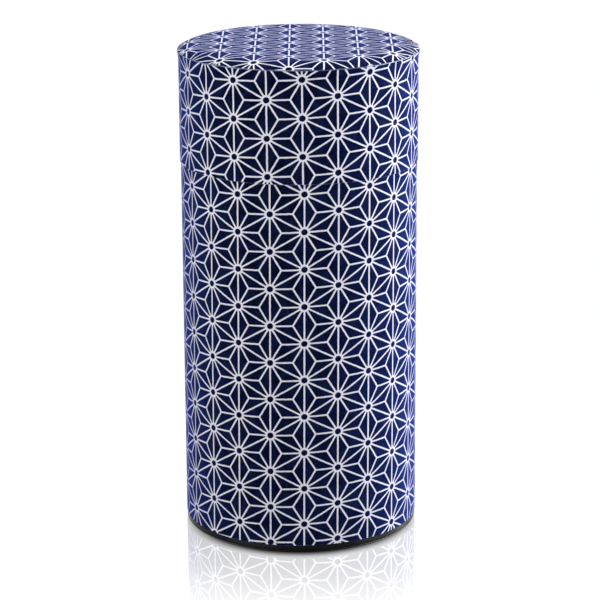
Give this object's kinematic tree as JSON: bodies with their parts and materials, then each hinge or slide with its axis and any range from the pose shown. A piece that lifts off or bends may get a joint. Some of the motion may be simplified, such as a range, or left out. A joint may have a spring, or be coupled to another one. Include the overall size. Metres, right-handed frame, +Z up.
{
  "type": "round paper-covered canister",
  "caption": "Tall round tinplate canister for spices or tea, covered in printed paper, with a deep slip-on cap over a plug inner lid.",
  "frame": {"origin": "middle of the base, on the surface that the canister stands on", "axes": "+Z up along the canister's own axis, -Y towards the front; the papers' lapped seams are at the back"},
  "size_m": [0.0756, 0.0756, 0.1556],
  "materials": {
    "tinplate": "bright rolled tinplate, satin",
    "knob_metal": "turned and polished",
    "black_lacquer": "black lacquer, glossy",
    "body_print": "washi paper printed in indigo with a white hemp-leaf lattice, satin",
    "cap_side_print": "washi paper printed in indigo with a white hemp-leaf lattice, satin",
    "cap_top_print": "washi paper printed in indigo with a white hemp-leaf lattice, satin"
  },
  "bodies": {
    "canister": {"body_tube": "tinplate", "bottom_plate": "black_lacquer", "body_paper": "body_print"},
    "inner_lid": {"inner_lid_plate": "tinplate", "inner_lid_knob": "knob_metal", "knob_washer": "tinplate", "knob_rivet": "tinplate"},
    "cap": {"cap_band": "tinplate", "cap_top_plate": "tinplate", "cap_side_paper": "cap_side_print", "cap_top_paper": "cap_top_print"}
  },
  "joints": [
    {"name": "inner_lid_lift", "type": "slide", "parent": "canister", "child": "inner_lid", "axis": [0, 0, 1], "range_m": [0, 0.03]},
    {"name": "cap_lift", "type": "slide", "parent": "inner_lid", "child": "cap", "axis": [0, 0, 1], "range_m": [0, 0.05]}
  ]
}
